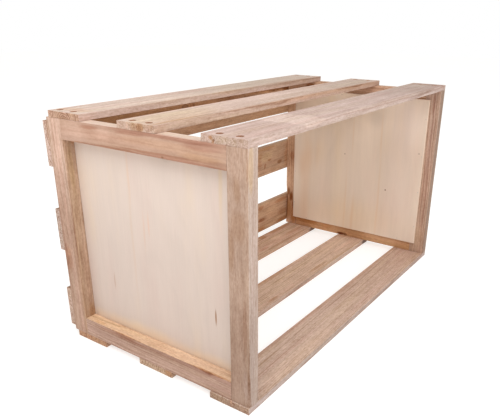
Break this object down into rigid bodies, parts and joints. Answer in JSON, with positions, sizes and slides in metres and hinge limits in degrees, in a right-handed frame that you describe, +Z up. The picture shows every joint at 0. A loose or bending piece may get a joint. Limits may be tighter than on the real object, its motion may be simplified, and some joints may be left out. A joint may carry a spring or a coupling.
{
  "type": "slatted wooden crate",
  "caption": "Slatted wooden crate on its side: framed plywood ends joined by nailed slats on the top, bottom and back, open at the front.",
  "frame": {"origin": "bottom centre of the crate's box, on the undersides of the bottom slats", "axes": "+X along the slats from the left end to the right end, -Y out of the open mouth, +Y through the slatted back, +Z up as the crate lies on its side"},
  "size_m": [0.5426, 0.3, 0.3],
  "materials": {
    "slat_wood": "planed and unfinished, with sawn ends",
    "batten_wood": "planed and unfinished, slightly rosy",
    "plywood": "smooth pale veneer, unfinished",
    "nail_steel": "dull, darkened heads sunk in pockets",
    "brad_steel": "dull galvanised wire"
  },
  "bodies": {
    "root": {"top_slat_front": "slat_wood", "top_slat_middle": "slat_wood", "top_slat_back": "slat_wood", "bottom_slat_front": "slat_wood", "bottom_slat_middle": "slat_wood", "bottom_slat_back": "slat_wood", "back_slat_bottom": "slat_wood", "back_slat_middle": "slat_wood", "back_slat_top": "slat_wood", "left_front_post": "batten_wood", "left_back_post": "batten_wood", "left_top_rail": "batten_wood", "left_bottom_rail": "batten_wood", "right_front_post": "batten_wood", "right_back_post": "batten_wood", "right_top_rail": "batten_wood", "right_bottom_rail": "batten_wood", "left_panel": "plywood", "right_panel": "plywood", "top_slat_nails": "nail_steel", "bottom_slat_nails": "nail_steel", "back_slat_nails": "nail_steel", "left_panel_brads": "brad_steel", "right_panel_brads": "brad_steel", "left_corner_staples": "brad_steel", "right_corner_staples": "brad_steel"}
  },
  "joints": []
}
